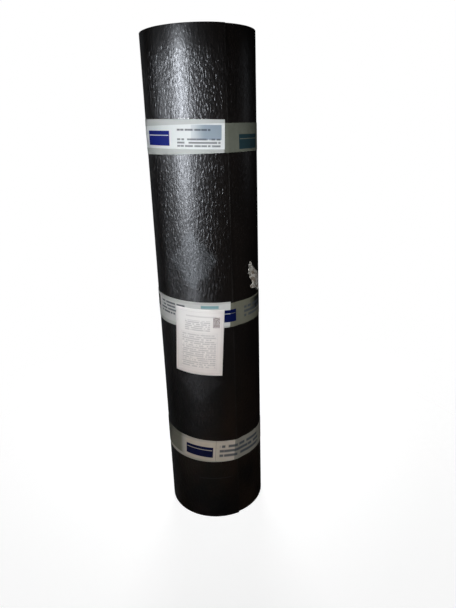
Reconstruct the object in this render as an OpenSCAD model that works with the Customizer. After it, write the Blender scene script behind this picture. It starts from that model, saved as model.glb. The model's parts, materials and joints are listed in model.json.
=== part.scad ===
// Roll of bituminous roofing felt, standing on its end, held by three bands of
// adhesive tape, with a paper label and a torn scrap of its burn-off film.
// The origin is on the roll's axis at its foot, +Z runs up the roll and the
// front looks along -Y. Angles to the right of the front are positive.

/* [Felt sheet] */
// Width of the sheet, which is the height of the standing roll
sheet_w = 1000; // [600:10:1200]
// Thickness of the sheet
sheet_t = 3; // [2:0.1:5]
// Mean air gap that winding leaves between two turns
wind_gap = 0.2; // [0.05:0.01:0.5]
// Turns of felt in the roll
turns = 22; // [10:1:30]
// Diameter of the open bore
bore_d = 75; // [50:1:120]
// Place of the free outer edge, in degrees right of the front
edge_angle = 25; // [10:0.5:45]

/* [Ends] */
// Width of the groove between two turns, seen on the ends
groove_w = 1; // [0.4:0.1:1.4]
// Depth of that groove
groove_depth = 1.2; // [0.5:0.1:3]
// Chamfer of the sheet's outermost corners
corner = 0.6; // [0.2:0.1:1]
// Degrees of the bore over which the second turn climbs the sheet's inner end
climb_angle = 15; // [8:1:20]

/* [Tape] */
// Width of the tape
tape_w = 50; // [36:1:75]
// Thickness of one layer of tape
tape_t = 0.25; // [0.15:0.05:0.5]
// Thickness of the glue under tape, label and film
glue_t = 0.05; // [0.02:0.01:0.1]
// Degrees by which a band's end laps over its start
lap_angle = 125; // [60:5:150]
// Degrees that a band's end stops short of the felt's free edge
lap_stop = 4; // [2:0.5:10]
// Reach of the tape's tent over the free edge's step, as a share of a straight tangent's
tent_share = 0.72; // [0.5:0.01:0.9]

/* [Bands] */
// Height of the top band, as a share of the sheet's width
top_place_share = 0.817; // [0.7:0.001:0.9]
// Slope of the top band, in degrees down to the right
top_tilt = 0; // [-2:0.1:2]
// Rise of the top band's lap above its first layer
top_lap_rise = 7.5; // [0:0.5:10]
// Slope of the top band's lap, in degrees down to the right
top_lap_tilt = 2.3; // [-5:0.1:5]
// Height of the middle band, as a share of the sheet's width
middle_place_share = 0.484; // [0.4:0.001:0.6]
// Slope of the middle band, in degrees down to the right
middle_tilt = 1.2; // [-2:0.1:2]
// Rise of the middle band's lap above its first layer
middle_lap_rise = 4.5; // [0:0.5:10]
// Slope of the middle band's lap, in degrees down to the right
middle_lap_tilt = 3; // [-5:0.1:5]
// Height of the bottom band, as a share of the sheet's width
bottom_place_share = 0.172; // [0.1:0.001:0.25]
// Slope of the bottom band, in degrees down to the right
bottom_tilt = 1.7; // [-2:0.1:2]
// Rise of the bottom band's lap above its first layer
bottom_lap_rise = 3; // [0:0.5:10]
// Slope of the bottom band's lap, in degrees down to the right
bottom_lap_tilt = 4.8; // [-5:0.1:5]

/* [Label] */
// Width of the label, measured round the roll
label_w = 102; // [80:1:115]
// Height of the label
label_h = 142; // [100:1:180]
// Thickness of the label
label_t = 0.25; // [0.1:0.05:0.5]
// Place of the label's middle, in degrees right of the front
label_angle = -14.5; // [-25:0.5:-5]
// Turn of the label, in degrees clockwise
label_tilt = 4; // [-8:0.5:8]
// Rise of the label's top above the middle of its band, as a share of the tape's width
label_rise_share = 0.33; // [0.1:0.01:0.45]

/* [Torn film] */
// Width of the scrap of film, measured straight across
film_w = 60; // [30:1:70]
// Height of the scrap
film_h = 76; // [50:1:100]
// Thickness of the scrap
film_t = 0.25; // [0.15:0.05:0.5]
// Place of the scrap's middle, in degrees right of the front
film_angle = 61; // [60:1:100]
// Gap between the middle band's upper edge and the scrap's lowest tip
film_gap = 3; // [2:0.5:20]

/* [Hidden] */
$fn = 180;

// One turn of felt takes its thickness and the air beside it.
pitch = sheet_t + wind_gap;
bore_r = bore_d / 2;
roll_r = bore_r + turns * pitch;

// The winding is drawn in half turns. Those on the free edge's left are round
// the axis. Those on its right climb by one pitch, so their centre is half a
// pitch off the axis and their outermost radius is half a pitch less.
climb_shift = pitch / 2;
climb_r = roll_r - climb_shift;

// The tape sticks down a little before the tangent from the free edge would
// touch the turn below, and its outline runs on past that place.
tent_angle = tent_share * acos(climb_r / (roll_r + climb_shift));
tent_run_share = 0.3;

// The label lies on the lapped part of its band.
label_r = roll_r + 2 * (glue_t + tape_t);
label_chord = 2 * label_r * sin(label_w / (2 * label_r) * 180 / PI);
label_top = middle_place_share * sheet_w + label_rise_share * tape_w;

// The scrap's tail hangs just above the upper edge of the sloping middle band.
film_foot = middle_place_share * sheet_w + tape_w / 2 - roll_r * sin(film_angle) * tan(middle_tilt);
film_z = film_foot + film_gap + film_h / 2;

// The scrap's torn outline, as shares of its width and height: a strip that
// runs down from its tip to its tail, with a hook on its left.
film_shares = [
    [-0.38, 0.50], [-0.23, 0.37], [-0.02, 0.22], [0.22, 0.09], [0.47, -0.05], [0.50, -0.26], [0.28, -0.50],
    [0.08, -0.34], [-0.28, -0.30], [-0.36, -0.21], [-0.21, -0.14], [-0.37, 0.01], [-0.50, 0.22]
];

// One extra length for every cut that runs out of its solid.
overrun = pitch;

// Turns the X axis to the felt's free edge.
module at_edge() {
    rotate([0, 0, edge_angle - 90]) children();
}

// Half section through the wound felt, with a groove at each of the given
// number of bounds between turns, on both ends.
module wound_section(outer_r, grooves) {
    inner_r = bore_r - pitch;
    foot = [
        for (k = [grooves:-1:1])
            for (step = [-1, 0, 1])
                [outer_r - k * pitch + step * groove_w / 2, step == 0 ? groove_depth : 0]
    ];
    head = [for (k = [len(foot) - 1:-1:0]) [foot[k].x, sheet_w - foot[k].y]];
    polygon(concat(
        [[inner_r, 0]],
        foot,
        [[outer_r - corner, 0], [outer_r, corner], [outer_r, sheet_w - corner], [outer_r - corner, sheet_w]],
        head,
        [[inner_r, sheet_w]]
    ));
}

// The gap under the second turn where it climbs over the sheet's inner end.
module inner_end_gap() {
    end_tip = [-bore_r - pitch, 0];
    bore_tip = bore_r * [-cos(climb_angle), sin(climb_angle)];
    translate([0, 0, -overrun])
        linear_extrude(sheet_w + 2 * overrun)
            polygon([end_tip, [overrun - bore_r, 0], 2 * bore_tip - (end_tip + bore_tip) / 2]);
}

module felt_roll() {
    color([0.07, 0.07, 0.075])
        at_edge()
            difference() {
                union() {
                    rotate([0, 0, 180])
                        rotate_extrude(angle = 180)
                            wound_section(roll_r, turns - 1);
                    translate([-climb_shift, 0, 0])
                        rotate_extrude(angle = 180)
                            wound_section(climb_r, turns - 2);
                }
                translate([0, 0, -overrun])
                    cylinder(h = sheet_w + 2 * overrun, r = bore_r);
                inner_end_gap();
            }
}

// Outline of the wound felt under a skin of the given thickness. The skin comes
// down from the free edge to the turn below as a straight tent.
module skin_outline(skin) {
    edge = [roll_r + skin, 0];
    tent_foot = (climb_r + skin) * [cos(tent_angle), sin(tent_angle)] - [climb_shift, 0];
    intersection() {
        circle(roll_r + skin);
        translate([-2 * roll_r, -2 * roll_r]) square([4 * roll_r, 2 * roll_r]);
    }
    intersection() {
        translate([-climb_shift, 0]) circle(climb_r + skin);
        translate([-2 * roll_r, 0]) square([4 * roll_r, 2 * roll_r]);
    }
    polygon([[0, 0], edge, tent_foot + tent_run_share * (tent_foot - edge)]);
}

// A wall of one layer of tape right round the felt, twice as tall as the tape is wide.
module first_layer() {
    translate([0, 0, -tape_w])
        linear_extrude(2 * tape_w)
            difference() {
                skin_outline(glue_t + tape_t);
                skin_outline(glue_t);
            }
}

// The end of the tape on top of its start, stuck half a layer deep into it.
module lapped_end() {
    rotate([0, 0, -lap_stop - lap_angle])
        rotate_extrude(angle = lap_angle)
            translate([roll_r + glue_t + tape_t / 2, -tape_w])
                square([1.5 * tape_t, 2 * tape_w]);
}

// A slice as tall as the tape is wide, sloping down to the right.
module tape_slice(tilt) {
    rotate([0, tilt, 0])
        cube([4 * roll_r, 4 * roll_r, tape_w], center = true);
}

// A band of tape once round the felt, its end lapped a little askew over its start.
module tape_band(height, tilt, lap_rise, lap_tilt) {
    translate([0, 0, height])
        intersection() {
            at_edge() first_layer();
            tape_slice(tilt);
        }
    translate([0, 0, height + lap_rise])
        intersection() {
            at_edge() lapped_end();
            tape_slice(lap_tilt);
        }
}

module tape_band_top() {
    color([0.80, 0.82, 0.80])
        tape_band(top_place_share * sheet_w, top_tilt, top_lap_rise, top_lap_tilt);
}

module tape_band_middle() {
    color([0.80, 0.82, 0.80])
        tape_band(middle_place_share * sheet_w, middle_tilt, middle_lap_rise, middle_lap_tilt);
}

module tape_band_bottom() {
    color([0.80, 0.82, 0.80])
        tape_band(bottom_place_share * sheet_w, bottom_tilt, bottom_lap_rise, bottom_lap_tilt);
}

// The label is a slice of a thin tube, cut by a straight-sided block turned askew.
module paper_label() {
    color([0.85, 0.82, 0.80])
        intersection() {
            translate([0, 0, label_top - 2 * label_h])
                difference() {
                    cylinder(h = 3 * label_h, r = label_r + label_t);
                    translate([0, 0, -overrun])
                        cylinder(h = 3 * label_h + 2 * overrun, r = label_r);
                }
            rotate([0, 0, label_angle])
                translate([0, -label_r, label_top - label_h / 2])
                    rotate([0, label_tilt, 0])
                        cube([label_chord, label_r, label_h], center = true);
        }
}

// The scrap lies on the lower turn of felt, cut to its torn outline.
module torn_film() {
    film_r = climb_r + glue_t;
    color([0.70, 0.71, 0.72])
        intersection() {
            at_edge()
                translate([-climb_shift, 0, film_z - film_h])
                    rotate_extrude(angle = 180)
                        translate([film_r, 0])
                            square([film_t, 2 * film_h]);
            rotate([0, 0, film_angle])
                translate([0, 0, film_z])
                    rotate([90, 0, 0])
                        linear_extrude(2 * roll_r)
                            polygon([for (p = film_shares) [p.x * film_w, p.y * film_h]]);
        }
}

felt_roll();
tape_band_top();
tape_band_middle();
tape_band_bottom();
paper_label();
torn_film();
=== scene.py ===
import json
import math

import bmesh
import bpy
import numpy as np
from mathutils import Matrix, Vector, noise


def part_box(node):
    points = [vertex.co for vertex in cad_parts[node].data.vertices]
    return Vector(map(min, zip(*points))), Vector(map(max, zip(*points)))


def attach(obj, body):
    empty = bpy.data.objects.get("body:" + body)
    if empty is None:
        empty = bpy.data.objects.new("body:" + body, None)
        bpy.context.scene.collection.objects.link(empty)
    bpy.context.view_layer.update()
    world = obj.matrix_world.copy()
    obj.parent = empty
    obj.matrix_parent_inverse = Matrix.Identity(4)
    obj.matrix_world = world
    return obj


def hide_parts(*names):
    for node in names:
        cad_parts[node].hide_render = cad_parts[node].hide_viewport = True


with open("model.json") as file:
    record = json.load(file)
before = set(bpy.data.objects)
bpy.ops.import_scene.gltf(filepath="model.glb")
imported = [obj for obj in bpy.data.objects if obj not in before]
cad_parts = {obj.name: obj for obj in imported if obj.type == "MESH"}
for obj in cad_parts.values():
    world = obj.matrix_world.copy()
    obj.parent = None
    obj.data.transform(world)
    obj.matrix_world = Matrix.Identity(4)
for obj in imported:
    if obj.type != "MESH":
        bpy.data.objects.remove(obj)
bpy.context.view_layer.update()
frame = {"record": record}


# Felt roll
# Ten metres of bitumen felt with a glossy black burn-off film on its faces. The sheet is wound
# on itself round a drawn mandrel, so the bore is open and nothing holds the turns but the tape.
# Each turn climbs by one pitch over the half turn on the right of the free outer edge.
MM = 0.001
roll_low, roll_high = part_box("felt_roll")
roll_r = -roll_low.y
sheet_w = roll_high.z - roll_low.z
sheet_t = 3 * MM
turns = 22
bore_r = next(m["dims"]["r_mm"] for m in frame["record"]["mounts"] if m["name"] == "bore") * MM
pitch = (roll_r - bore_r) / turns
edge_angle = 25  # degrees right of the front
edge_turn = math.radians(edge_angle - 90)  # the same place, from the X axis
inner_end = 360 * (turns - 0.5)  # degrees of sheet from the free edge to the inner end
tucked = 366  # the finely divided outermost turn runs on a little under the free edge


def put(tree, kind, inputs=None, **settings):
    """Adds a node, sets its properties, and fills its sockets with values or links."""
    added = tree.nodes.new(kind)
    for name, value in settings.items():
        setattr(added, name, value)
    for key, value in (inputs or {}).items():
        if isinstance(value, bpy.types.NodeSocket):
            tree.links.new(value, added.inputs[key])
        else:
            added.inputs[key].default_value = value
    return added


def calc(tree, operation, *values):
    """The result of a maths node on sockets or numbers."""
    return put(tree, "ShaderNodeMath", dict(enumerate(values)), operation=operation).outputs[0]


def noise_value(tree, vector, **inputs):
    """A noise texture's value at a vector."""
    inputs = {name.title(): value for name, value in inputs.items()}
    return put(tree, "ShaderNodeTexNoise", {"Vector": vector, **inputs}).outputs[0]


def vector_of(tree, x, y, z=0.0):
    """A vector of sockets or numbers."""
    return put(tree, "ShaderNodeCombineXYZ", {"X": x, "Y": y, "Z": z}).outputs[0]


def new_tree(name, result, **sockets):
    """A geometry tree with named inputs. Returns the tree, its inputs and its output node."""
    tree = bpy.data.node_groups.new(name, "GeometryNodeTree")
    for label, kind in sockets.items():
        tree.interface.new_socket(
            label.replace("_", " ").title(), in_out="INPUT", socket_type="NodeSocket" + kind
        )
    tree.interface.new_socket(result, in_out="OUTPUT", socket_type="NodeSocketGeometry")
    given = dict(zip(sockets, tree.nodes.new("NodeGroupInput").outputs))
    return tree, given, tree.nodes.new("NodeGroupOutput")


def stored(tree, geometry, name, value, domain="POINT", kind="FLOAT"):
    """The geometry with a value kept on it under a name."""
    return put(
        tree,
        "GeometryNodeStoreNamedAttribute",
        {"Geometry": geometry, "Name": name, "Value": value},
        domain=domain,
        data_type=kind,
    ).outputs[0]


def kept(tree, name):
    """A value that was kept on the geometry under a name."""
    source = put(tree, "GeometryNodeInputNamedAttribute", {"Name": name}, data_type="FLOAT")
    return source.outputs[0]


def made_by(tree, name, base, finish=None, **values):
    """An object with the plain mesh that a tree makes from a base mesh."""
    piece = bpy.data.objects.new(name, base)
    bpy.context.scene.collection.objects.link(piece)
    maker = piece.modifiers.new("maker", "NODES")
    maker.node_group = tree
    places = {s.name: s.identifier for s in tree.interface.items_tree if s.in_out == "INPUT"}
    for label, value in values.items():
        maker[places[label.replace("_", " ").title()]] = value
    if finish:
        finish(piece)
    shape = piece.evaluated_get(bpy.context.evaluated_depsgraph_get())
    mesh = bpy.data.meshes.new_from_object(shape)
    piece.modifiers.clear()
    piece.data = mesh
    return piece


def sheet_section(face_steps):
    """The sheet's closed section, rounded at the cut edges. X runs outwards and Y down."""
    corner, corner_steps = 0.6 * MM, 2
    points, faces_out, ends = [], [], []
    for side, end in ((1, 0), (1, 1), (-1, 1), (-1, 0)):
        middle = (side * (sheet_t / 2 - corner), corner if end == 0 else sheet_w - corner)
        start = {(1, 0): -90, (1, 1): 0, (-1, 1): 90, (-1, 0): 180}[side, end]
        for k in range(corner_steps + 1):
            a = math.radians(start + 90 * k / corner_steps)
            on_face = abs(math.sin(a)) < 0.5
            points.append((middle[0] + corner * math.cos(a), middle[1] + corner * math.sin(a)))
            faces_out.append(1.0 if on_face and side > 0 else 0.0)
            ends.append(0.0 if on_face else 1.0 - 2.0 * end)
        if (side, end) == (1, 0):
            rise = sheet_w - 2 * corner
            for k in range(1, face_steps):
                points.append((sheet_t / 2, corner + rise * k / face_steps))
                faces_out.append(1.0)
                ends.append(0.0)
    section = bpy.data.meshes.new("sheet_section")
    count = len(points)
    section.from_pydata(
        [(x, -z, 0) for x, z in points], [(k, (k + 1) % count) for k in range(count)], []
    )
    section.attributes.new("faces_out", "FLOAT", "POINT").data.foreach_set("value", faces_out)
    section.attributes.new("end", "FLOAT", "POINT").data.foreach_set("value", ends)
    return section


def winding_tree():
    """Winds the sheet's section in half turns, puckers its outer face and lets its edges wander."""
    tree, given, result = new_tree(
        "wound_sheet",
        "Felt",
        section="Geometry",
        outer_radius="Float",
        pitch="Float",
        thickness="Float",
        edge_turn="Float",
        first_degree="Float",
        last_degree="Float",
        steps="Int",
        pucker="Float",
        wander="Float",
        seed="Float",
        film="Material",
    )
    line = put(tree, "GeometryNodeMeshLine", {"Count": given["steps"]}).outputs[0]
    path = put(tree, "GeometryNodeMeshToCurve", {"Mesh": line}).outputs[0]
    index = put(tree, "GeometryNodeInputIndex").outputs[0]
    share = calc(tree, "DIVIDE", index, calc(tree, "SUBTRACT", given["steps"], 1.0))
    span = calc(tree, "SUBTRACT", given["last_degree"], given["first_degree"])
    degree = calc(tree, "SUBTRACT", given["last_degree"], calc(tree, "MULTIPLY", share, span))
    half = calc(tree, "FLOOR", calc(tree, "DIVIDE", degree, 180.0))
    half_pitch = calc(tree, "MULTIPLY", given["pitch"], 0.5)
    middle_r = calc(
        tree, "SUBTRACT", given["outer_radius"], calc(tree, "MULTIPLY", given["thickness"], 0.5)
    )
    radius = calc(tree, "SUBTRACT", middle_r, calc(tree, "MULTIPLY", half, half_pitch))
    shift = calc(tree, "MULTIPLY", calc(tree, "MODULO", half, 2.0), half_pitch)
    turn = calc(tree, "SUBTRACT", given["edge_turn"], calc(tree, "RADIANS", degree))
    place = []
    for way in ("COSINE", "SINE"):
        around = calc(tree, "MULTIPLY", radius, calc(tree, way, turn))
        off = calc(tree, "MULTIPLY", shift, calc(tree, way, given["edge_turn"]))
        place.append(calc(tree, "SUBTRACT", around, off))
    path = put(
        tree, "GeometryNodeSetPosition", {"Geometry": path, "Position": vector_of(tree, *place)}
    ).outputs[0]
    path = put(tree, "GeometryNodeSetCurveNormal", {"Curve": path}, mode="Z_UP").outputs[0]
    reach = calc(tree, "MULTIPLY", calc(tree, "RADIANS", degree), given["outer_radius"])
    path = stored(tree, path, "reach", reach)
    section = put(tree, "GeometryNodeMeshToCurve", {"Mesh": given["section"]}).outputs[0]
    felt = put(
        tree,
        "GeometryNodeCurveToMesh",
        {"Curve": path, "Profile Curve": section, "Fill Caps": True},
    ).outputs[0]

    position = put(tree, "GeometryNodeInputPosition").outputs[0]
    height = put(tree, "ShaderNodeSeparateXYZ", {"Vector": position}).outputs["Z"]
    reach = kept(tree, "reach")
    felt = stored(
        tree, felt, "UVMap", vector_of(tree, reach, height), domain="CORNER", kind="FLOAT2"
    )
    puckers_around, puckers_up = 95.0, 34.0  # to the metre
    spot = vector_of(
        tree,
        calc(tree, "MULTIPLY", reach, puckers_around),
        calc(tree, "MULTIPLY", height, puckers_up),
        given["seed"],
    )
    fold = noise_value(tree, spot, scale=1.0, detail=2.0, distortion=0.7)
    depth = calc(tree, "MULTIPLY", calc(tree, "SUBTRACT", fold, 1.0), given["pucker"])
    depth = calc(tree, "MULTIPLY", depth, kept(tree, "faces_out"))
    outward = put(
        tree, "ShaderNodeVectorMath", {0: position, 1: (1.0, 1.0, 0.0)}, operation="MULTIPLY"
    ).outputs[0]
    outward = put(tree, "ShaderNodeVectorMath", {0: outward}, operation="NORMALIZE").outputs[0]
    inset = put(
        tree, "ShaderNodeVectorMath", {0: outward, "Scale": depth}, operation="SCALE"
    ).outputs[0]
    wavers_around, straight_below = 4.0, 0.42  # to the metre, and as a value of the noise
    end = kept(tree, "end")
    waver = noise_value(
        tree,
        vector_of(tree, calc(tree, "MULTIPLY", reach, wavers_around), end, given["seed"]),
        scale=1.0,
        detail=3.0,
    )
    waver = calc(tree, "MAXIMUM", calc(tree, "SUBTRACT", waver, straight_below), 0.0)
    waver = calc(tree, "MULTIPLY", waver, given["wander"])
    waver = calc(tree, "MULTIPLY", waver, end)
    moved = put(
        tree, "ShaderNodeVectorMath", {0: inset, 1: vector_of(tree, 0.0, 0.0, waver)}
    ).outputs[0]
    felt = put(
        tree, "GeometryNodeSetPosition", {"Geometry": felt, "Offset": moved}
    ).outputs[0]
    felt = put(tree, "GeometryNodeRealizeInstances", {"Geometry": felt}).outputs[0]
    felt = put(
        tree, "GeometryNodeSetMaterial", {"Geometry": felt, "Material": given["film"]}
    ).outputs[0]
    tree.links.new(felt, result.inputs[0])
    return tree


def new_material(name):
    """A material and its tree with the Principled shader in it."""
    material = bpy.data.materials.new(name)
    material.use_nodes = True
    return material, material.node_tree, material.node_tree.nodes["Principled BSDF"]


def mixed(tree, share, a, b):
    """Colour a where the share is 0 and b where it is 1."""
    mix = tree.nodes.new("ShaderNodeMix")
    mix.data_type = "RGBA"
    for socket, value in ((mix.inputs[0], share), (mix.inputs[6], a), (mix.inputs[7], b)):
        if isinstance(value, bpy.types.NodeSocket):
            tree.links.new(value, socket)
        else:
            socket.default_value = (*value, 1.0) if socket.type == "RGBA" else value
    return mix.outputs[2]


def ramp(tree, value, low, high, start=0.0, end=1.0):
    """Start below low, end above high, and a smooth rise between them."""
    return put(
        tree,
        "ShaderNodeMapRange",
        {0: value, 1: low, 2: high, 3: start, 4: end},
        interpolation_type="SMOOTHSTEP",
    ).outputs[0]


def band(tree, value, low, high, soft):
    """1 between low and high, 0 outside them, with soft edges."""
    return calc(
        tree,
        "MULTIPLY",
        ramp(tree, value, low - soft, low + soft),
        ramp(tree, value, high - soft, high + soft, 1.0, 0.0),
    )


def felt_film():
    """Shrunk black film on bitumen, matt where the sheet is cut, with faded printed lozenges."""
    material, tree, shader = new_material("felt_film")
    place = put(tree, "ShaderNodeUVMap", uv_map="UVMap").outputs[0]
    axes = put(tree, "ShaderNodeSeparateXYZ", {"Vector": place}).outputs
    reach, height = axes["X"], axes["Y"]

    def wrinkles(around, up, **inputs):
        """Noise with so many cells to the metre round the roll and up it."""
        spot = vector_of(
            tree, calc(tree, "MULTIPLY", reach, around), calc(tree, "MULTIPLY", height, up)
        )
        return noise_value(tree, spot, scale=1.0, **inputs)

    def reach_at(front):
        """How far from the free edge a place is, given in degrees right of the front."""
        return math.radians(edge_angle - front) * roll_r

    # Fine shrink wrinkles run up the roll, longer than wide, over broader puckers. By the upper
    # end the film is stretched flatter.
    fine = wrinkles(260.0, 115.0, detail=2.0, roughness=0.6, distortion=0.5)
    broad = wrinkles(95.0, 34.0, detail=2.0, distortion=1.2)
    patchy = wrinkles(22.0, 9.0, detail=2.0)
    relief = calc(tree, "MULTIPLY_ADD", broad, 0.25, calc(tree, "SUBTRACT", fine, 0.62))
    stretch_foot, stretch_head = 0.935, 0.98
    stretched = ramp(tree, height, stretch_foot, stretch_head)
    relief = calc(tree, "MULTIPLY", relief, calc(tree, "MULTIPLY_ADD", stretched, -0.85, 1.0))

    # Near the upper end the film slopes in towards the cut.
    slope_foot, slope_rise = 0.945, 0.05
    slope = calc(tree, "DIVIDE", calc(tree, "SUBTRACT", height, slope_foot), slope_rise)
    slope = calc(tree, "POWER", calc(tree, "MAXIMUM", slope, 0.0), 2.0)
    relief = calc(tree, "MULTIPLY_ADD", slope, -3.2, relief)

    # One sharp crease runs down from the top on the right of the front.
    crease_place = calc(tree, "MULTIPLY_ADD", broad, 4 * MM, reach)
    crease_middle = reach_at(8) + 2 * MM
    crease_foot, crease_head = 0.905, 0.955
    crease = calc(
        tree,
        "MULTIPLY",
        band(tree, crease_place, crease_middle - 0.5 * MM, crease_middle + 0.5 * MM, 0.4 * MM),
        band(tree, height, crease_foot, crease_head, 12 * MM),
    )
    relief = calc(tree, "MULTIPLY_ADD", crease, 0.2, relief)

    # The cut ends of the sheet are bare bitumen. A paler line along the free edge, and fainter
    # along the crease, is a painted highlight.
    object_z = put(
        tree,
        "ShaderNodeSeparateXYZ",
        {"Vector": put(tree, "ShaderNodeTexCoord").outputs["Object"]},
    ).outputs["Z"]
    lip = 0.5 * MM
    inside = band(tree, object_z, lip, sheet_w - lip, 0.1 * MM)
    free_edge = ramp(tree, reach, 0.8 * MM, 2.6 * MM, 1.0, 0.0)
    edge_highlight = calc(tree, "MULTIPLY", free_edge, ramp(tree, patchy, 0.30, 0.62))
    edge_highlight = calc(tree, "MAXIMUM", edge_highlight, calc(tree, "MULTIPLY", crease, 0.5))

    # Faded print: two lozenges in a column, and thin guide lines across the sheet.
    worn = ramp(tree, calc(tree, "MULTIPLY_ADD", fine, 0.6, patchy), 0.62, 0.95)
    ragged = calc(tree, "MULTIPLY_ADD", wrinkles(55.0, 38.0, detail=3.0), 0.9, -0.45)
    ink = None
    column = reach_at(-16)
    for middle_z, half_w, half_h, strength in (
        (0.598, 0.050, 0.058, 0.95),
        (0.338, 0.050, 0.046, 0.16),
    ):
        across = calc(tree, "ABSOLUTE", calc(tree, "SUBTRACT", reach, column))
        up = calc(tree, "ABSOLUTE", calc(tree, "SUBTRACT", height, middle_z))
        size = calc(tree, "MULTIPLY_ADD", across, 1 / half_w, calc(tree, "DIVIDE", up, half_h))
        shape = ramp(tree, calc(tree, "ADD", size, ragged), 0.80, 1.10, strength, 0.0)
        ink = shape if ink is None else calc(tree, "MAXIMUM", ink, shape)
    ink = calc(tree, "MULTIPLY", ink, calc(tree, "MULTIPLY_ADD", worn, -0.5, 1.0))
    for line_z, left, right, strength in (
        (0.104, -22, 16, 0.42),
        (0.276, -18, 14, 0.06),
        (0.563, -4, 20, 0.12),
    ):
        line = calc(
            tree,
            "MULTIPLY",
            band(tree, height, line_z - 0.8 * MM, line_z + 0.8 * MM, 0.5 * MM),
            band(tree, reach, reach_at(right), reach_at(left), 8 * MM),
        )
        ink = calc(tree, "MAXIMUM", ink, calc(tree, "MULTIPLY", line, strength))

    # The film is black with a brown cast, dusty towards the foot, and the cut ends are dull grey.
    film_black, film_brown = (0.0040, 0.0036, 0.0036), (0.0080, 0.0060, 0.0050)
    dust_brown, faded_ink = (0.0170, 0.0105, 0.0070), (0.052, 0.057, 0.062)
    highlight_grey = (0.017, 0.016, 0.015)
    cut_dark, cut_pale = (0.030, 0.028, 0.026), (0.065, 0.061, 0.057)
    film = mixed(tree, patchy, film_black, film_brown)
    dust = calc(
        tree,
        "MULTIPLY",
        ramp(tree, wrinkles(9.0, 6.0, detail=3.0), 0.36, 0.62),
        ramp(tree, height, 0.12, 0.42, 1.0, 0.0),
    )
    film = mixed(tree, dust, film, dust_brown)
    printed = mixed(tree, ink, film, faded_ink)
    # Painted highlight: the free edge and the crease are painted a paler grey.
    printed = mixed(tree, edge_highlight, printed, highlight_grey)
    mottled = ramp(tree, wrinkles(6.0, 0.0, detail=3.0), 0.36, 0.64)
    cut = mixed(tree, mottled, cut_dark, cut_pale)
    colour = mixed(tree, inside, cut, printed)

    # Seen edge on, the wrinkles hide one another and the gloss spreads. The cut ends are matt.
    rough = calc(tree, "MULTIPLY_ADD", patchy, 0.10, 0.25)
    rough = calc(tree, "MULTIPLY_ADD", ink, 0.06, rough)
    edge_on = put(tree, "ShaderNodeLayerWeight", {"Blend": 0.5}).outputs["Facing"]
    rough = calc(tree, "MULTIPLY_ADD", ramp(tree, edge_on, 0.52, 0.76), 0.30, rough)
    rough = calc(tree, "MULTIPLY_ADD", calc(tree, "SUBTRACT", 1.0, inside), 0.45, rough)
    bump = put(
        tree, "ShaderNodeBump", {"Strength": 1.0, "Distance": 0.6 * MM, "Height": relief}
    ).outputs[0]

    # The film itself is a thin clear coat, pressed into dense small flecks that are longer than
    # wide and lie calmer by the stretched rim.
    flecks = wrinkles(280.0, 98.0, detail=1.0, distortion=0.5)
    flecks = calc(tree, "MULTIPLY", calc(tree, "SUBTRACT", flecks, 0.5), 3.0)
    sharp = calc(tree, "MULTIPLY_ADD", calc(tree, "MULTIPLY", flecks, flecks), 0.3, 0.7)
    flecks = calc(tree, "MULTIPLY", flecks, sharp)
    calm = calc(tree, "MULTIPLY_ADD", stretched, -0.7, 1.0)
    flecks = calc(tree, "MULTIPLY_ADD", crease, 0.2, calc(tree, "MULTIPLY", flecks, calm))
    flecks = calc(tree, "MULTIPLY_ADD", slope, -1.9, flecks)
    coat_bump = put(
        tree, "ShaderNodeBump", {"Strength": 1.0, "Distance": 1.0 * MM, "Height": flecks}
    ).outputs[0]
    tree.links.new(colour, shader.inputs["Base Color"])
    tree.links.new(rough, shader.inputs["Roughness"])
    tree.links.new(bump, shader.inputs["Normal"])
    tree.links.new(coat_bump, shader.inputs["Coat Normal"])
    shader.inputs["Coat Weight"].default_value = 0.2
    shader.inputs["Coat Roughness"].default_value = 0.28
    shader.inputs["Specular IOR Level"].default_value = 0.12
    return material


def wound_felt():
    """The finely divided outermost turn and the rest of the winding, joined in one mesh."""
    tree, film = winding_tree(), felt_film()
    common = dict(
        outer_radius=roll_r,
        pitch=pitch,
        thickness=sheet_t,
        edge_turn=edge_turn,
        wander=1.6 * MM,
        seed=4.0,
        film=film,
    )
    outer = made_by(
        tree,
        "felt_roll_wound",
        sheet_section(face_steps=220),
        first_degree=0.0,
        last_degree=float(tucked),
        steps=245,
        pucker=0.35 * MM,
        **common,
    )
    inner = made_by(
        tree,
        "inner_turns",
        sheet_section(face_steps=1),
        first_degree=float(tucked),
        last_degree=float(inner_end),
        steps=1844,
        pucker=0.0,
        **common,
    )
    joined = bmesh.new()
    joined.from_mesh(outer.data)
    joined.from_mesh(inner.data)
    bmesh.ops.recalc_face_normals(joined, faces=joined.faces)
    for face in joined.faces:
        face.smooth = True
    joined.to_mesh(outer.data)
    joined.free()
    outer.data.set_sharp_from_angle(angle=math.radians(40))
    bpy.data.objects.remove(inner)
    return outer


felt = wound_felt()
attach(felt, "root")
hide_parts("felt_roll")


# Tape bands
# Printed polypropylene packing tape, pulled once round the roll and lapped over its own start, so
# that its end is stuck to tape. One layer over black felt looks olive grey, two layers look white.
# Right of the felt's free edge the tape comes down to the next turn as a small straight tent.
tape_w = 50 * MM
tape_t = 0.25 * MM
glue_t = 0.05 * MM
lap_angle, lap_stop = 125, 4  # degrees of lap, and from its end to the felt's free edge
climb_shift = pitch / 2
climb_r = roll_r - climb_shift
tent_share = 0.72  # of the reach that a straight tangent would have
tent_angle = tent_share * math.degrees(math.acos(climb_r / (roll_r + climb_shift)))
print_period = math.radians(150) * roll_r


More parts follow.
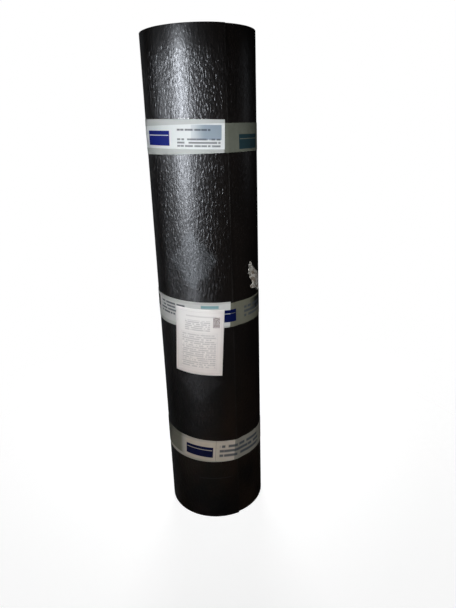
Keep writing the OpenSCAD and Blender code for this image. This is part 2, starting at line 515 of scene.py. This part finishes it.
def tape_path(height, slope, lap_rise, lap_slope, first_print, lap_print, first_layer, clear):
    """The line that a band's middle follows, with its layer, print and lap's rise at each point.

    Angles count to the right from the felt's free edge. The line runs to the right, once round and
    then on over its start.
    """
    start = -lap_stop - lap_angle
    turned = start + 360
    end = turned + lap_angle
    skin = glue_t + tape_t / 2
    rising = 90  # from here round the back the band slopes up to its lap
    step_span, shade_fade_span = 2.5, 12  # degrees over which the lap steps up, and turns white
    curl_span, curl = 7, 0.9 * MM  # the lap's end stands off a little
    under_lap = 0.55  # how white the first layer is where the lap covers it
    points, layers, prints, rises = [], [], [], []
    step, seam = 1.25, 0.02
    first = np.append(np.arange(start, turned, step), turned - seam)
    lap = np.append(turned + seam, np.arange(turned + step, end + seam, step))
    for a in np.append(first, lap):
        lapped = a > turned
        local = a if a < 180 else a - 360
        turn = math.radians(local)
        r = roll_r + skin
        if lapped:
            r += (glue_t + tape_t) * min(1.0, (a - turned) / step_span)
            r += curl * max(0.0, (a - end + curl_span) / curl_span) ** 2
        x, y = r * math.cos(turn), r * math.sin(turn)
        if 0 < local < 180:
            r = climb_r + skin
            x, y = r * math.cos(turn) - climb_shift, r * math.sin(turn)
            if local < tent_angle:
                stuck = math.radians(tent_angle)
                foot = Vector((r * math.cos(stuck) - climb_shift, r * math.sin(stuck)))
                x, y = Vector((roll_r + skin, 0)).lerp(foot, local / tent_angle)
        place = Matrix.Rotation(edge_turn, 2) @ Vector((x, y))
        low = height - place.x * math.tan(math.radians(slope))
        high = height + lap_rise - place.x * math.tan(math.radians(lap_slope))
        t = min(1.0, max(0.0, (a - rising) / (turned - rising)))
        points.append((place.x, place.y, low + (high - low) * t * t * (3 - 2 * t)))
        front = edge_angle + (a - 360 if lapped else a)  # degrees right of the front
        panel = lap_print if lapped else first_print
        # Left of clear the lap keeps the one-layer olive grey: painted shade, seen on the bottom
        # band.
        white = min(1.0, max(0.1, (front - clear) / shade_fade_span))
        single = under_lap if a < -lap_stop else first_layer
        layers.append(white if lapped else single)
        prints.append(math.radians(front - panel) * roll_r + 2 * print_period)
        rises.append(high - low if lapped else 0.0)
    path = bpy.data.meshes.new("tape_path")
    path.from_pydata(points, [(k, k + 1) for k in range(len(points) - 1)], [])
    for name, values in (("layer", layers), ("printed", prints), ("rise", rises)):
        path.attributes.new(name, "FLOAT", "POINT").data.foreach_set("value", values)
    return path


def tape_tree():
    """Lays a strip of tape along a path, with small ripples that stand off the felt."""
    tree, given, result = new_tree(
        "tape_on_path",
        "Tape",
        path="Geometry",
        width="Float",
        rows="Int",
        ripple="Float",
        seed="Float",
        film="Material",
    )
    path = put(tree, "GeometryNodeMeshToCurve", {"Mesh": given["path"]}).outputs[0]
    path = put(tree, "GeometryNodeSetCurveNormal", {"Curve": path}, mode="Z_UP").outputs[0]
    half = calc(tree, "MULTIPLY", given["width"], 0.5)
    across = put(
        tree,
        "GeometryNodeCurvePrimitiveLine",
        {
            "Start": vector_of(tree, 0.0, half),
            "End": vector_of(tree, 0.0, calc(tree, "MULTIPLY", half, -1.0)),
        },
    ).outputs[0]
    across = put(
        tree, "GeometryNodeResampleCurve", {"Curve": across, "Count": given["rows"]}
    ).outputs[0]
    share = put(tree, "GeometryNodeSplineParameter").outputs["Factor"]
    across = stored(tree, across, "up", calc(tree, "MULTIPLY", share, given["width"]))
    tape = put(
        tree, "GeometryNodeCurveToMesh", {"Curve": path, "Profile Curve": across}
    ).outputs[0]
    printed, up = kept(tree, "printed"), kept(tree, "up")
    tape = stored(
        tree, tape, "UVMap", vector_of(tree, printed, up), domain="CORNER", kind="FLOAT2"
    )
    swells_along, swells_up = 38.0, 26.0  # to the metre
    spot = vector_of(
        tree,
        calc(tree, "MULTIPLY", printed, swells_along),
        calc(tree, "MULTIPLY", up, swells_up),
        given["seed"],
    )
    swell = noise_value(tree, spot, scale=1.0, detail=2.0)
    swell = calc(tree, "MAXIMUM", calc(tree, "SUBTRACT", swell, 0.5), 0.0)
    normal = put(tree, "GeometryNodeInputNormal").outputs[0]
    lift = put(
        tree,
        "ShaderNodeVectorMath",
        {0: normal, "Scale": calc(tree, "MULTIPLY", swell, given["ripple"])},
        operation="SCALE",
    ).outputs[0]
    tape = put(tree, "GeometryNodeSetPosition", {"Geometry": tape, "Offset": lift}).outputs[0]
    tape = put(tree, "GeometryNodeRealizeInstances", {"Geometry": tape}).outputs[0]
    tape = put(
        tree, "GeometryNodeSetMaterial", {"Geometry": tape, "Material": given["film"]}
    ).outputs[0]
    tree.links.new(tape, result.inputs[0])
    return tree


def bars(tree, x, y, pitch, words):
    """Rows of plain bars of uneven length, with so many words to the metre, in place of print."""
    row = calc(tree, "DIVIDE", y, pitch)
    stripe = band(tree, calc(tree, "FRACT", row), 0.22, 0.78, 0.12)
    row_shift = calc(tree, "MULTIPLY", calc(tree, "FLOOR", row), 3.7)
    spot = vector_of(tree, calc(tree, "MULTIPLY", x, words), row_shift)
    word = ramp(tree, noise_value(tree, spot, scale=1.0, detail=1.0), 0.38, 0.46)
    return calc(tree, "MULTIPLY", stripe, word)


def printed_tape(
    band_name, rows, print_rise, lap_drop, grime_and_shade, dirt_and_shade, first_ink, navy, field, field_print_and_shade_share,
    strip_ink, fold_shade_share
):
    """White film printed with a navy panel, rows of plain bars and a tinted field. The field is
    pale blue print on the top band and painted shade on the middle band, the bottom band's fold
    line is painted shade, and the lower bands carry grime mixed with painted shade.
    """
    material, tree, shader = new_material(f"printed_tape_{band_name}")
    place = put(tree, "ShaderNodeUVMap", uv_map="UVMap").outputs[0]
    axes = put(tree, "ShaderNodeSeparateXYZ", {"Vector": place}).outputs
    along = calc(tree, "MODULO", axes["X"], print_period)
    layer = put(tree, "ShaderNodeAttribute", attribute_name="layer").outputs["Fac"]
    lapped = ramp(tree, layer, 0.6, 0.9)
    up = calc(tree, "SUBTRACT", axes["Y"], print_rise)
    up = calc(tree, "MULTIPLY_ADD", lapped, lap_drop, up)
    rise = put(tree, "ShaderNodeAttribute", attribute_name="rise").outputs["Fac"]

    def block(left, right, foot, head, soft=0.3 * MM):
        """A printed rectangle on the tape."""
        across = band(tree, along, left, right, soft)
        return calc(tree, "MULTIPLY", across, band(tree, up, foot, head, soft))

    cloudy = noise_value(
        tree,
        vector_of(tree, calc(tree, "MULTIPLY", along, 60.0), calc(tree, "MULTIPLY", up, 90.0)),
        scale=1.0,
        detail=3.0,
    )
    # Two layers hide the felt. The lap's upper margin has only felt behind it.
    margin = calc(tree, "SUBTRACT", tape_w, rise)
    backed = calc(tree, "LESS_THAN", axes["Y"], margin)
    backed = calc(tree, "MULTIPLY", layer, calc(tree, "MULTIPLY_ADD", backed, 0.34, 0.66))
    olive_dark, olive_pale = (0.115, 0.125, 0.098), (0.160, 0.172, 0.145)
    olive_brown = (0.105, 0.093, 0.058)
    white_dull, white_clean = (0.70, 0.735, 0.745), (0.78, 0.815, 0.83)
    thin = mixed(tree, cloudy, olive_dark, olive_pale)
    # Grime and painted shade: on the lower bands the olive and the white are mixed towards darker,
    # browner colours.
    thin = mixed(tree, grime_and_shade, thin, olive_brown)
    thick = mixed(tree, cloudy, white_dull, white_clean)
    colour = mixed(tree, backed, thin, thick)
    dust_and_shade = calc(tree, "MULTIPLY_ADD", cloudy, 0.5 * grime_and_shade, 0.75 * grime_and_shade)
    dust_and_shade = calc(tree, "MULTIPLY", dust_and_shade, backed)
    colour = mixed(tree, dust_and_shade, colour, dirt_and_shade)

    # The print, from its left: a teal strip over a navy panel, a dark fold line, bars, a tinted
    # field. The fold line is painted shade, and on the middle band so is the near black field.
    teal, fold_shade_brown = (0.06, 0.23, 0.26), (0.05, 0.045, 0.04)
    ink_black, faded_navy = (0.05, 0.06, 0.08), (0.018, 0.042, 0.052)
    field_left, field_full, field_right = 116 * MM, 142 * MM, 170 * MM
    # On the middle band the field is painted shade: near black where the band turns away on its
    # left and right sides.
    tinted = block(field_left, field_right, 16 * MM, 41 * MM, 1.0 * MM)
    fading = ramp(tree, along, field_left, field_full, 0.3, 1.0)
    tinted = calc(tree, "MULTIPLY", tinted, fading)
    colour = mixed(tree, calc(tree, "MULTIPLY", tinted, field_print_and_shade_share), colour, field)
    strip = block(1 * MM, 36 * MM, 34.5 * MM, 40.5 * MM, 1.0 * MM)
    colour = mixed(tree, calc(tree, "MULTIPLY", strip, strip_ink), colour, teal)
    # Painted shade: a dark line across the tape where it folds.
    fold = block(79.3 * MM, 80.1 * MM, -tape_w, tape_w, 0.4 * MM)
    colour = mixed(tree, calc(tree, "MULTIPLY", fold, fold_shade_share), colour, fold_shade_brown)
    dyed = calc(tree, "MAXIMUM", lapped, first_ink)
    for start, end, foot, head, row_pitch, strength in rows:
        words = calc(
            tree,
            "MULTIPLY",
            block(start, end, foot, head),
            bars(tree, along, calc(tree, "SUBTRACT", up, foot), row_pitch, 0.9 / row_pitch),
        )
        words = calc(tree, "MULTIPLY", words, calc(tree, "MULTIPLY", dyed, strength))
        colour = mixed(tree, words, colour, ink_black)
    panel = block(12 * MM, 74 * MM, 5 * MM, 30.5 * MM)
    rule = block(14 * MM, 72 * MM, 22.0 * MM, 23.4 * MM)
    dye = mixed(tree, dyed, faded_navy, navy)
    panel = calc(tree, "SUBTRACT", panel, calc(tree, "MULTIPLY", rule, 0.9))
    colour = mixed(tree, panel, colour, dye)

    creases = noise_value(
        tree,
        vector_of(tree, calc(tree, "MULTIPLY", along, 160.0), calc(tree, "MULTIPLY", up, 45.0)),
        scale=1.0,
        detail=2.0,
        distortion=0.8,
    )
    bump = put(
        tree, "ShaderNodeBump", {"Strength": 0.25, "Distance": 0.25 * MM, "Height": creases}
    ).outputs[0]
    rough = calc(tree, "MULTIPLY_ADD", cloudy, 0.15, 0.42)
    tree.links.new(colour, shader.inputs["Base Color"])
    tree.links.new(rough, shader.inputs["Roughness"])
    tree.links.new(bump, shader.inputs["Normal"])
    shader.inputs["Specular IOR Level"].default_value = 0.04
    return material


def tape_thickness(piece):
    """Gives the strip the tape's thickness, half to each side."""
    wall = piece.modifiers.new("thickness", "SOLIDIFY")
    wall.thickness = tape_t
    wall.offset = 0.0


on_path = tape_tree()
# Slopes are in degrees, and so are the places, right of the front, where the print starts on each
# layer and where the lap turns white; left of that place the lap is painted olive grey as shade,
# which shows on the bottom band. A row of print holds its start and end along the tape, its foot
# and head across it, the pitch of its bars and its strength.
band_paths = {
    "top": dict(
        height=817 * MM,
        slope=0.0,
        lap_rise=7.5 * MM,
        lap_slope=2.3,
        first_print=32.0,
        lap_print=-72.3,
        first_layer=0.0,
        clear=-180,
    ),
    "middle": dict(
        height=484 * MM,
        slope=1.2,
        lap_rise=4.5 * MM,
        lap_slope=3.0,
        first_print=-10.8,
        lap_print=-10.8,
        first_layer=0.02,
        clear=-180,
    ),
    "bottom": dict(
        height=172 * MM,
        slope=1.7,
        lap_rise=3.0 * MM,
        lap_slope=4.8,
        first_print=-43.3,
        lap_print=-43.3,
        first_layer=0.22,
        clear=-47,
    ),
}
band_looks = {
    "top": dict(
        rows=(
            (90 * MM, 168 * MM, 2.5 * MM, 19.3 * MM, 5.6 * MM, 0.75),
            (90 * MM, 150 * MM, 29.6 * MM, 35.2 * MM, 5.6 * MM, 0.8),
        ),
        print_rise=0.0,
        lap_drop=0.0,
        grime_and_shade=0.0,
        dirt_and_shade=(0.3, 0.3, 0.3),
        first_ink=0.0,
        navy=(0.004, 0.013, 0.190),
        field=(0.21, 0.28, 0.36),
        field_print_and_shade_share=0.85,
        strip_ink=0.0,
        fold_shade_share=0.0,
    ),
    "middle": dict(
        rows=(
            (180 * MM, 250 * MM, 11 * MM, 39 * MM, 7.0 * MM, 0.85),
            (96 * MM, 170 * MM, 6 * MM, 33 * MM, 9.0 * MM, 0.75),
        ),
        print_rise=6 * MM,
        lap_drop=3.3 * MM,
        grime_and_shade=0.5,
        dirt_and_shade=(0.27, 0.25, 0.225),
        first_ink=1.0,
        navy=(0.002, 0.005, 0.045),
        # Painted shade: near black where the band turns away at its sides.
        field=(0.014, 0.014, 0.013),
        field_print_and_shade_share=1.0,
        strip_ink=0.75,
        fold_shade_share=0.0,
    ),
    "bottom": dict(
        rows=((88 * MM, 200 * MM, 5 * MM, 39 * MM, 11.3 * MM, 0.85),),
        print_rise=2.5 * MM,
        lap_drop=0.0,
        grime_and_shade=0.6,
        dirt_and_shade=(0.42, 0.29, 0.155),
        first_ink=1.0,
        navy=(0.003, 0.004, 0.036),
        field=(0.1, 0.1, 0.1),
        field_print_and_shade_share=0.0,
        strip_ink=0.0,
        fold_shade_share=0.6,
    ),
}
for place, course in band_paths.items():
    tape = made_by(
        on_path,
        f"tape_band_{place}_printed",
        tape_path(**course),
        finish=tape_thickness,
        width=tape_w,
        rows=13,
        ripple=0.5 * MM,
        seed=course["height"] * 100,
        film=printed_tape(place, **band_looks[place]),
    )
    for face in tape.data.polygons:
        face.use_smooth = True
    tape.data.set_sharp_from_angle(angle=math.radians(40))
    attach(tape, "root")
    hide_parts(f"tape_band_{place}")


# Paper label
# A small printed sheet of white paper, stuck a little askew over the middle band's lap. Its foot
# is held only by its glue, so its corners stand off. All its print is plain bars and rules.
label_w, label_h, label_t = 102 * MM, 142 * MM, 0.25 * MM
label_r = roll_r + 2 * (glue_t + tape_t) + label_t / 2
label_angle, label_tilt = -14.5, 4.0
label_middle = 429.5 * MM


def label_sheet():
    """The label's paper, bent to the roll, with slack ripples and lifted corners."""
    columns, rows = 36, 48
    slack_depth, corner_lift = 0.25 * MM, 3.2 * MM
    right_share, left_share = 1.4, 0.4
    sheet = bmesh.new()
    chart = sheet.loops.layers.uv.new("UVMap")
    tilt = math.radians(label_tilt)
    grid, flat = [], {}
    for j in range(rows + 1):
        for i in range(columns + 1):
            u, v = i / columns - 0.5, j / rows - 0.5
            x, z = u * label_w, v * label_h
            around = x * math.cos(tilt) + z * math.sin(tilt)
            up = z * math.cos(tilt) - x * math.sin(tilt)
            slack = slack_depth * (1 + noise.noise(Vector((x * 40, z * 25, 3.0)))) * (0.5 - v)
            corner = max(0.0, abs(u) * 2 - 0.55) * max(0.0, -v * 2 - 0.45)
            r = label_r + slack + corner_lift * corner * (right_share if u > 0 else left_share)
            a = math.radians(label_angle - 90) + around / label_r
            vert = sheet.verts.new((r * math.cos(a), r * math.sin(a), label_middle + up))
            flat[vert] = (u * label_w, v * label_h)
            grid.append(vert)
    for j in range(rows):
        for i in range(columns):
            k = j * (columns + 1) + i
            face = sheet.faces.new(
                (grid[k], grid[k + 1], grid[k + columns + 2], grid[k + columns + 1])
            )
            face.smooth = True
            for loop in face.loops:
                loop[chart].uv = flat[loop.vert]
    mesh = bpy.data.meshes.new("paper_label_sheet")
    sheet.to_mesh(mesh)
    sheet.free()
    return mesh


def label_paper():
    """White paper, pinkish grey towards its foot and painted with shade towards its right side,
    with grey rules, bars and a mottled block.
    """
    material, tree, shader = new_material("label_paper")
    place = put(tree, "ShaderNodeUVMap", uv_map="UVMap").outputs[0]
    axes = put(tree, "ShaderNodeSeparateXYZ", {"Vector": place}).outputs
    x, y = axes["X"], axes["Y"]

    def block(left, right, foot, head, soft=0.15 * MM):
        """A printed rectangle on the label."""
        across = band(tree, x, left, right, soft)
        return calc(tree, "MULTIPLY", across, band(tree, y, foot, head, soft))

    paper_pink, paper_white = (0.77, 0.71, 0.68), (0.80, 0.785, 0.775)
    painted_shade_grey, fibre_grey = (0.60, 0.54, 0.51), (0.55, 0.52, 0.50)
    ink_grey, code_grey = (0.24, 0.22, 0.24), (0.27, 0.23, 0.23)
    fibre = noise_value(tree, place, scale=900.0, detail=3.0)
    paper = mixed(tree, ramp(tree, y, -70 * MM, 60 * MM), paper_pink, paper_white)
    # Painted shade: the paper is mixed towards grey on its right side.
    paper = mixed(tree, ramp(tree, x, 10 * MM, 50 * MM, 0.0, 0.4), paper, painted_shade_grey)
    paper = mixed(tree, calc(tree, "MULTIPLY", fibre, 0.12), paper, fibre_grey)

    left, right, head = -0.5 * label_w, 0.5 * label_w, 0.5 * label_h

    def frame_lines(x0, x1, y0, y1, rule=0.4 * MM):
        """A thin rectangular frame."""
        hollow = block(x0 + rule, x1 - rule, y0 + rule, y1 - rule)
        return calc(tree, "SUBTRACT", block(x0, x1, y0, y1), hollow)

    table = (left + 13 * MM, right - 12 * MM, -0.5 * label_h + 12 * MM, head - 50 * MM)
    divider = block(left + 60 * MM, left + 60.5 * MM, table[2], table[3])
    rules = calc(tree, "MAXIMUM", frame_lines(*table), divider)
    border = (left + 5 * MM, right - 5 * MM, -0.5 * label_h + 5 * MM, head - 6 * MM)
    rules = calc(tree, "MAXIMUM", rules, frame_lines(*border))
    ruled = calc(tree, "FRACT", calc(tree, "DIVIDE", y, 9.2 * MM))
    ruled = calc(tree, "MULTIPLY", band(tree, ruled, 0.0, 0.05, 0.02), block(*table))
    rules = calc(tree, "MAXIMUM", rules, calc(tree, "MULTIPLY", ruled, 0.8))
    listed = block(left + 16 * MM, right - 15 * MM, table[2] + 3 * MM, table[3] - 3 * MM)
    listed = calc(tree, "MULTIPLY", listed, bars(tree, x, y, 4.6 * MM, 190.0))
    notes = block(left + 22 * MM, right - 28 * MM, head - 46 * MM, head - 24 * MM)
    notes = calc(tree, "MULTIPLY", notes, bars(tree, x, y, 4.1 * MM, 150.0))
    heading = block(left + 24 * MM, right - 16 * MM, head - 17 * MM, head - 14 * MM)
    listed = calc(tree, "MULTIPLY", listed, 0.40)
    ink = calc(tree, "MAXIMUM", listed, calc(tree, "MULTIPLY", notes, 0.44))
    ink = calc(tree, "MAXIMUM", ink, calc(tree, "MULTIPLY", rules, 0.36))
    ink = calc(tree, "MAXIMUM", ink, calc(tree, "MULTIPLY", heading, 0.25))
    colour = mixed(tree, ink, paper, ink_grey)
    code = block(right - 22.5 * MM, right - 8.5 * MM, head - 38 * MM, head - 16 * MM)
    mottled = ramp(tree, noise_value(tree, place, scale=420.0, detail=1.0), 0.38, 0.62, 0.5, 0.95)
    colour = mixed(tree, calc(tree, "MULTIPLY", code, mottled), colour, code_grey)
    bump = put(
        tree, "ShaderNodeBump", {"Strength": 0.2, "Distance": 0.1 * MM, "Height": fibre}
    ).outputs[0]
    tree.links.new(colour, shader.inputs["Base Color"])
    tree.links.new(bump, shader.inputs["Normal"])
    tree.links.new(calc(tree, "MULTIPLY_ADD", fibre, 0.15, 0.6), shader.inputs["Roughness"])
    shader.inputs["Specular IOR Level"].default_value = 0.1
    return material


label = bpy.data.objects.new("paper_label_printed", label_sheet())
bpy.context.scene.collection.objects.link(label)
label.data.materials.append(label_paper())
label_wall = label.modifiers.new("thickness", "SOLIDIFY")
label_wall.thickness = label_t
label_wall.offset = 0.0
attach(label, "root")
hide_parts("paper_label")


# Torn film
# A scrap of the thin burn-off film that has torn and peeled off the felt on the right side. It is
# crumpled and milky, and hangs just above the middle band by its right edge.
film_w, film_h, film_t = 60 * MM, 76 * MM, 0.15 * MM
film_angle = 61
film_low, film_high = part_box("torn_film")
film_middle = (film_low.z + film_high.z) / 2
torn_outline = [
    (-0.38, 0.50), (-0.23, 0.37), (-0.02, 0.22), (0.22, 0.09), (0.47, -0.05), (0.50, -0.26),
    (0.28, -0.50), (0.08, -0.34), (-0.28, -0.30), (-0.36, -0.21), (-0.21, -0.14), (-0.37, 0.01),
    (-0.50, 0.22),
]


def within(outline, x, y):
    """Whether a point is inside a closed outline."""
    inside = False
    for (ax, ay), (bx, by) in zip(outline, outline[1:] + outline[:1]):
        if (ay > y) != (by > y) and x < ax + (bx - ax) * (y - ay) / (by - ay):
            inside = not inside
    return inside


def film_scrap():
    """Small cells inside the torn outline, smoothed at the tear and crumpled off the felt."""
    cell = 1.6 * MM
    scrap = bmesh.new()
    verts = {}

    def corner(i, j):
        """The point where four cells meet, made when it is first asked for."""
        if (i, j) not in verts:
            verts[i, j] = scrap.verts.new((i * cell, j * cell, 0))
        return verts[i, j]

    columns, rows = int(film_w / cell) // 2, int(film_h / cell) // 2
    for j in range(-rows, rows):
        for i in range(-columns, columns):
            x, y = (i + 0.5) * cell / film_w, (j + 0.5) * cell / film_h
            if within(torn_outline, x, y):
                places = ((i, j), (i + 1, j), (i + 1, j + 1), (i, j + 1))
                scrap.faces.new([corner(*place) for place in places])
    torn = [v for v in scrap.verts if v.is_boundary]
    for _ in range(2):
        bmesh.ops.smooth_vert(scrap, verts=torn, factor=0.5, use_axis_x=True, use_axis_y=True)
    seat = climb_r + glue_t + film_t
    lift, crumple = 2.4 * MM, 2.6 * MM
    off = Matrix.Rotation(edge_turn, 2) @ Vector((-climb_shift, 0))
    for vert in scrap.verts:
        x, y = vert.co.x, vert.co.y
        loose = min(1.0, max(0.0, 0.75 - x / film_w))
        fold = noise.noise(Vector((x * 70, y * 40, 1.7)))
        fold += 0.5 * noise.noise(Vector((x * 160, y * 110, 5.1)))
        r = max(seat, seat + loose * (lift + crumple * fold))
        # The scrap's outline is seen straight on, at its own angle, and laid back on the turn.
        side = math.asin(min(0.99, max(-0.99, x / roll_r)))
        a = math.radians(film_angle - 90) + side
        vert.co = (r * math.cos(a) + off.x, r * math.sin(a) + off.y, film_middle + y)
    for face in scrap.faces:
        face.smooth = True
    mesh = bpy.data.meshes.new("torn_film_scrap")
    scrap.to_mesh(mesh)
    scrap.free()
    return mesh


def peeled_film():
    """Milky grey film, browner where bitumen clings to it, with painted highlights on its creases.
    """
    material, tree, shader = new_material("peeled_film")
    place = put(tree, "ShaderNodeTexCoord").outputs["Object"]
    cling = noise_value(tree, place, scale=45.0, detail=3.0)
    crease = noise_value(tree, place, scale=160.0, detail=3.0, distortion=1.5)
    milky, browned, glint_white = (0.36, 0.35, 0.32), (0.20, 0.165, 0.13), (0.80, 0.80, 0.77)
    colour = mixed(tree, ramp(tree, cling, 0.35, 0.65), milky, browned)
    # Painted highlight: near white along the creases.
    colour = mixed(tree, ramp(tree, crease, 0.50, 0.66), colour, glint_white)
    bump = put(
        tree, "ShaderNodeBump", {"Strength": 0.6, "Distance": 0.5 * MM, "Height": crease}
    ).outputs[0]
    tree.links.new(colour, shader.inputs["Base Color"])
    tree.links.new(bump, shader.inputs["Normal"])
    tree.links.new(calc(tree, "MULTIPLY_ADD", cling, 0.2, 0.25), shader.inputs["Roughness"])
    return material


film = bpy.data.objects.new("torn_film_scrap", film_scrap())
bpy.context.scene.collection.objects.link(film)
film.data.materials.append(peeled_film())
film_wall = film.modifiers.new("thickness", "SOLIDIFY")
film_wall.thickness = film_t
film_wall.offset = 0.0
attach(film, "root")
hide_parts("torn_film")


# Studio
# A pale floor that fades into a white backdrop, a dark tent that only reflections see, so that the
# black film stays black, soft lamps round the roll, lamps that only gloss sees for the film's
# gleam, and a camera held near the roll's upper end and tipped down at it.
def white_world():
    """White behind the roll and in reflections, with only a little light for the rest."""
    world = bpy.data.worlds.new("backdrop")
    bpy.context.scene.world = world
    world.use_nodes = True
    tree = world.node_tree
    path = put(tree, "ShaderNodeLightPath").outputs
    shown = calc(tree, "MAXIMUM", path["Is Camera Ray"], path["Is Glossy Ray"])
    shown = calc(tree, "MAXIMUM", shown, path["Is Transmission Ray"])
    ambient = 0.10
    strength = calc(tree, "MULTIPLY_ADD", shown, 1 - ambient, ambient)
    tree.links.new(strength, tree.nodes["Background"].inputs["Strength"])
    tree.nodes["Background"].inputs["Color"].default_value = (1, 1, 1, 1)


def dark_tent():
    """A dome of dark cloth over roll and lamps that only reflections see."""
    shell = bmesh.new()
    bmesh.ops.create_icosphere(shell, subdivisions=3, radius=3.0)
    for vert in shell.verts:
        vert.co.z = max(vert.co.z, 0.5 * MM)
    mesh = bpy.data.meshes.new("tent")
    shell.to_mesh(mesh)
    shell.free()
    material, tree, shader = new_material("dark_tent")
    place = put(tree, "ShaderNodeTexCoord").outputs["Object"]
    weave = noise_value(tree, place, scale=20.0, detail=2.0)
    cloth = mixed(tree, weave, (0.01, 0.01, 0.01), (0.02, 0.02, 0.02))
    tree.links.new(cloth, shader.inputs["Base Color"])
    shader.inputs["Roughness"].default_value = 1.0
    shader.inputs["Specular IOR Level"].default_value = 0.0
    mesh.materials.append(material)
    tent = bpy.data.objects.new("tent", mesh)
    tent.visible_camera = tent.visible_diffuse = tent.visible_shadow = False
    tent.visible_transmission = False
    bpy.context.scene.collection.objects.link(tent)


def pale_floor():
    """A round floor that grows clear away from the roll and glows, so that its shadow is faint."""
    mesh = bpy.data.meshes.new("floor")
    reach, sides = 2.4, 96
    ring = [
        (reach * math.cos(2 * math.pi * k / sides), reach * math.sin(2 * math.pi * k / sides), 0)
        for k in range(sides)
    ]
    mesh.from_pydata(ring, [], [range(sides)])
    material, tree, shader = new_material("pale_floor")
    place = put(tree, "ShaderNodeTexCoord").outputs["Object"]
    away = put(tree, "ShaderNodeVectorMath", {0: place}, operation="LENGTH").outputs["Value"]
    grain = noise_value(tree, place, scale=60.0, detail=2.0)
    colour = mixed(tree, grain, (0.44, 0.44, 0.44), (0.48, 0.48, 0.48))
    path = put(tree, "ShaderNodeLightPath").outputs
    shown = calc(tree, "MAXIMUM", path["Is Camera Ray"], path["Is Glossy Ray"])
    shown = calc(tree, "MAXIMUM", shown, path["Is Transmission Ray"])
    tree.links.new(colour, shader.inputs["Base Color"])
    shader.inputs["Roughness"].default_value = 0.9
    shader.inputs["Specular IOR Level"].default_value = 0.1
    shader.inputs["Emission Color"].default_value = (1, 1, 1, 1)
    glow, solid_to, clear_from = 0.80, 0.35, 1.1
    tree.links.new(calc(tree, "MULTIPLY", shown, glow), shader.inputs["Emission Strength"])
    tree.links.new(ramp(tree, away, solid_to, clear_from, 1.0, 0.0), shader.inputs["Alpha"])
    floor = bpy.data.objects.new("floor", mesh)
    mesh.materials.append(material)
    bpy.context.scene.collection.objects.link(floor)


def lamp(name, azimuth, distance, height, width, tall, power, aim_z, spread=180):
    """A soft rectangular lamp, its azimuth in degrees left of the camera's side."""
    light = bpy.data.lights.new(name, "AREA")
    light.shape, light.size, light.size_y, light.energy = "RECTANGLE", width, tall, power
    light.spread = math.radians(spread)
    thing = bpy.data.objects.new(name, light)
    a = math.radians(azimuth)
    thing.location = (-distance * math.sin(a), -distance * math.cos(a), height)
    aim = Vector((0, 0, aim_z))
    thing.rotation_euler = (aim - thing.location).to_track_quat("-Z", "Y").to_euler()
    bpy.context.scene.collection.objects.link(thing)
    return thing


def photo_camera():
    """The camera: its pan, tilt and roll in degrees, its focal length in picture heights."""
    distance, height, focal = 1.0465, 0.8314, 508.98 / 608
    pan, tilt, roll = (math.radians(a) for a in (2.125, 18.925, -1.871))
    forward = Vector(
        (math.sin(pan) * math.cos(tilt), math.cos(pan) * math.cos(tilt), -math.sin(tilt))
    )
    level = forward.cross(Vector((0, 0, 1))).normalized()
    upright = level.cross(forward)
    right = math.cos(roll) * level + math.sin(roll) * upright
    up = math.cos(roll) * upright - math.sin(roll) * level
    data = bpy.data.cameras.new("camera")
    data.sensor_fit = "VERTICAL"
    data.lens = focal * data.sensor_height
    camera = bpy.data.objects.new("camera", data)
    camera.matrix_world = Matrix.Translation((0, -distance, height)) @ Matrix(
        (right, up, -forward)
    ).transposed().to_4x4()
    bpy.context.scene.collection.objects.link(camera)
    bpy.context.scene.camera = camera


white_world()
pale_floor()
dark_tent()
# A lamp's numbers are its azimuth, distance, height, width, tallness, power, aim and spread.
for soft in (
    lamp("key", 34, 1.3, 1.05, 0.3, 0.4, 0.6, 0.85, 60),
    lamp("front", 0, 1.2, 1.25, 0.4, 0.3, 1.3, 0.46, 50),
):
    soft.visible_glossy = False
lamp("back", 180, 1.5, 1.0, 0.6, 0.6, 14, 0.55)
gleam_blue = (0.87, 0.92, 1.0)
for gleam in (
    lamp("gleam", 36, 1.3, 1.03, 0.28, 0.14, 36, 1.03),
    lamp("wide_gleam", 40, 1.3, 0.715, 0.50, 0.37, 33, 0.715),
    lamp("low_gleam", 34, 1.3, 0.21, 0.30, 0.40, 8.0, 0.21),
    lamp("low_side_gleam", 82, 1.3, 0.28, 0.08, 0.44, 1.2, 0.28),
    lamp("side_gleam", 74, 1.3, 0.93, 0.44, 0.26, 6.0, 0.93),
    lamp("front_gleam", 4, 1.4, 0.90, 0.80, 0.34, 2.6, 0.90),
    lamp("right_gleam", -36, 1.4, 0.92, 0.12, 0.32, 0.3, 0.92),
    lamp("far_gleam", -100, 1.3, 0.88, 0.06, 0.46, 0.35, 0.88),
):
    gleam.visible_diffuse = False
    gleam.data.color = gleam_blue
photo_camera()
bpy.context.scene.view_settings.view_transform = "Standard"
